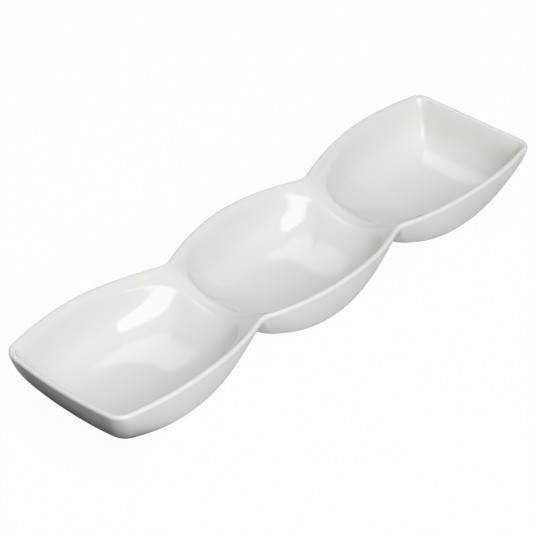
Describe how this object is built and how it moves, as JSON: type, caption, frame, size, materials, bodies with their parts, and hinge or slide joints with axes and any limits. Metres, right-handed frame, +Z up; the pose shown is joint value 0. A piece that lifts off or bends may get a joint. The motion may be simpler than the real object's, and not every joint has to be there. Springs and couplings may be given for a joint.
{
  "type": "divided serving bowl",
  "caption": "Long glazed porcelain serving dish of rounded-square bowls in a row, parted by low saddle-shaped dividers, on unglazed foot rings.",
  "frame": {"origin": "on the table, under the centre of the middle bowl, which is also the centre of the whole dish", "axes": "+X along the row of bowls, +Y across it, +Z up out of the bowls"},
  "size_m": [0.38, 0.107, 0.04],
  "materials": {
    "white_glaze": "clear glossy glaze over white porcelain",
    "bare_clay": "unglazed fired clay, sanded matt"
  },
  "bodies": {
    "root": {"left_bowl": "white_glaze", "middle_bowl": "white_glaze", "right_bowl": "white_glaze", "left_divider": "white_glaze", "right_divider": "white_glaze", "left_foot_ring": "bare_clay", "middle_foot_ring": "bare_clay", "right_foot_ring": "bare_clay"}
  },
  "joints": []
}
